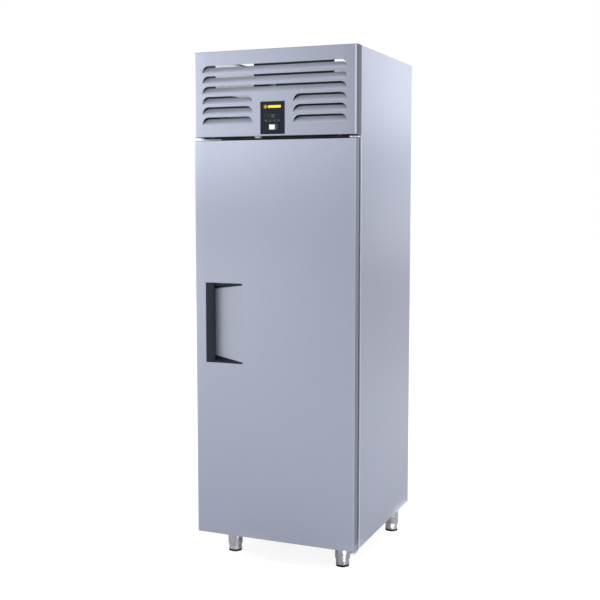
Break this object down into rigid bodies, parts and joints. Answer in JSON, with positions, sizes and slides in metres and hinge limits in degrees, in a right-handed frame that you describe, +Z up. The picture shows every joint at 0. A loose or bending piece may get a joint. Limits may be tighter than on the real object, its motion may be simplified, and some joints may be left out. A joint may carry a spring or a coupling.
{
  "type": "upright freezer",
  "caption": "Single-door upright commercial freezer in brushed stainless steel, with a louvred top panel, recessed black handle, wire shelves and adjustable round legs.",
  "frame": {"origin": "on the floor, under the middle of the overall box", "axes": "+Z up; the door and the louvred panel look along -Y; +X is to the right of someone who faces the door"},
  "size_m": [0.7, 0.75, 2.1],
  "materials": {
    "stainless": "satin",
    "liner_steel": "satin",
    "galvanised": "matte",
    "leg_steel": "gloss",
    "hinge_steel": "satin",
    "coated_wire": "satin",
    "black_metal": "satin",
    "coil": "satin",
    "copper": "satin",
    "black_plastic": "satin",
    "black_gloss": "gloss",
    "dark_plastic": "matte",
    "white_plastic": "gloss",
    "key_grey": "matte",
    "rubber": "matte",
    "foam": "matte"
  },
  "bodies": {
    "cabinet": {"left_side_panel": "stainless", "right_side_panel": "stainless", "back_panel": "stainless", "base_pan": "galvanised", "body_insulation": "foam", "liner_left_wall": "liner_steel", "liner_right_wall": "liner_steel", "liner_back_wall": "liner_steel", "liner_ceiling": "liner_steel", "liner_floor": "liner_steel", "breaker_frame": "dark_plastic", "top_deck": "galvanised", "front_louvre_panel": "stainless", "control_fascia": "black_gloss", "controller_module": "black_gloss", "switch_housing": "black_plastic", "shelf_uprights": "liner_steel", "shelf_runners": "liner_steel", "lower_shelf": "coated_wire", "middle_shelf": "coated_wire", "upper_shelf": "coated_wire", "evaporator_cover": "liner_steel", "evaporator_coil": "coil", "evaporator_motor": "black_metal", "drip_tray": "liner_steel", "compressor": "black_metal", "compressor_mounts": "rubber", "unit_base": "galvanised", "condenser_coil": "coil", "fan_shroud": "galvanised", "fan_guard": "black_metal", "condenser_motor": "black_metal", "electrical_box": "galvanised", "refrigerant_pipes": "copper", "evaporation_tray": "galvanised", "cord_gland": "black_plastic", "upper_hinge_bracket": "hinge_steel", "lower_hinge_bracket": "hinge_steel", "door_switch": "white_plastic", "fasteners": "hinge_steel", "leg_tubes": "leg_steel"},
    "door": {"door_skin": "stainless", "door_edge_frame": "dark_plastic", "door_insulation": "foam", "door_inner_liner": "liner_steel", "door_gasket": "rubber", "handle_grip": "black_plastic", "handle_ramp": "stainless", "hinge_bushes": "white_plastic"},
    "condenser_fan": {"condenser_fan": "black_plastic"},
    "evaporator_fan": {"evaporator_fan": "black_plastic"},
    "rocker": {"rocker": "white_plastic"},
    "key_set": {"key_set": "key_grey"},
    "key_up": {"key_up": "key_grey"},
    "key_down": {"key_down": "key_grey"},
    "key_defrost": {"key_defrost": "key_grey"},
    "foot_front_left": {"foot_front_left": "leg_steel"},
    "foot_front_right": {"foot_front_right": "leg_steel"},
    "foot_back_left": {"foot_back_left": "leg_steel"},
    "foot_back_right": {"foot_back_right": "leg_steel"}
  },
  "joints": [
    {"name": "door_hinge", "type": "hinge", "parent": "cabinet", "child": "door", "pos_m": [0.33, -0.35, 0.9305], "axis": [0, 0, 1], "range_deg": [0, 110], "stiffness_Nm_per_rad": 2, "springref_deg": -28.65},
    {"name": "condenser_fan_spin", "type": "hinge", "parent": "cabinet", "child": "condenser_fan", "pos_m": [0.11, -0.19, 1.898], "axis": [0, 1, 0], "continuous": true},
    {"name": "evaporator_fan_spin", "type": "hinge", "parent": "cabinet", "child": "evaporator_fan", "pos_m": [0, 0.16, 1.568], "axis": [0, 0, 1], "continuous": true},
    {"name": "rocker_tilt", "type": "hinge", "parent": "cabinet", "child": "rocker", "pos_m": [0.0025, -0.3667, 1.7945], "axis": [0, 0, -1], "range_deg": [0, 14]},
    {"name": "key_set_press", "type": "slide", "parent": "cabinet", "child": "key_set", "axis": [0, 1, 0], "range_m": [0, 0.0008], "stiffness_N_per_m": 300},
    {"name": "key_up_press", "type": "slide", "parent": "cabinet", "child": "key_up", "axis": [0, 1, 0], "range_m": [0, 0.0008], "stiffness_N_per_m": 300},
    {"name": "key_down_press", "type": "slide", "parent": "cabinet", "child": "key_down", "axis": [0, 1, 0], "range_m": [0, 0.0008], "stiffness_N_per_m": 300},
    {"name": "key_defrost_press", "type": "slide", "parent": "cabinet", "child": "key_defrost", "axis": [0, 1, 0], "range_m": [0, 0.0008], "stiffness_N_per_m": 300},
    {"name": "foot_front_left_slide", "type": "slide", "parent": "cabinet", "child": "foot_front_left", "axis": [0, 0, -1], "range_m": [0, 0.025]},
    {"name": "foot_front_right_slide", "type": "slide", "parent": "cabinet", "child": "foot_front_right", "axis": [0, 0, -1], "range_m": [0, 0.025]},
    {"name": "foot_back_left_slide", "type": "slide", "parent": "cabinet", "child": "foot_back_left", "axis": [0, 0, -1], "range_m": [0, 0.025]},
    {"name": "foot_back_right_slide", "type": "slide", "parent": "cabinet", "child": "foot_back_right", "axis": [0, 0, -1], "range_m": [0, 0.025]}
  ]
}
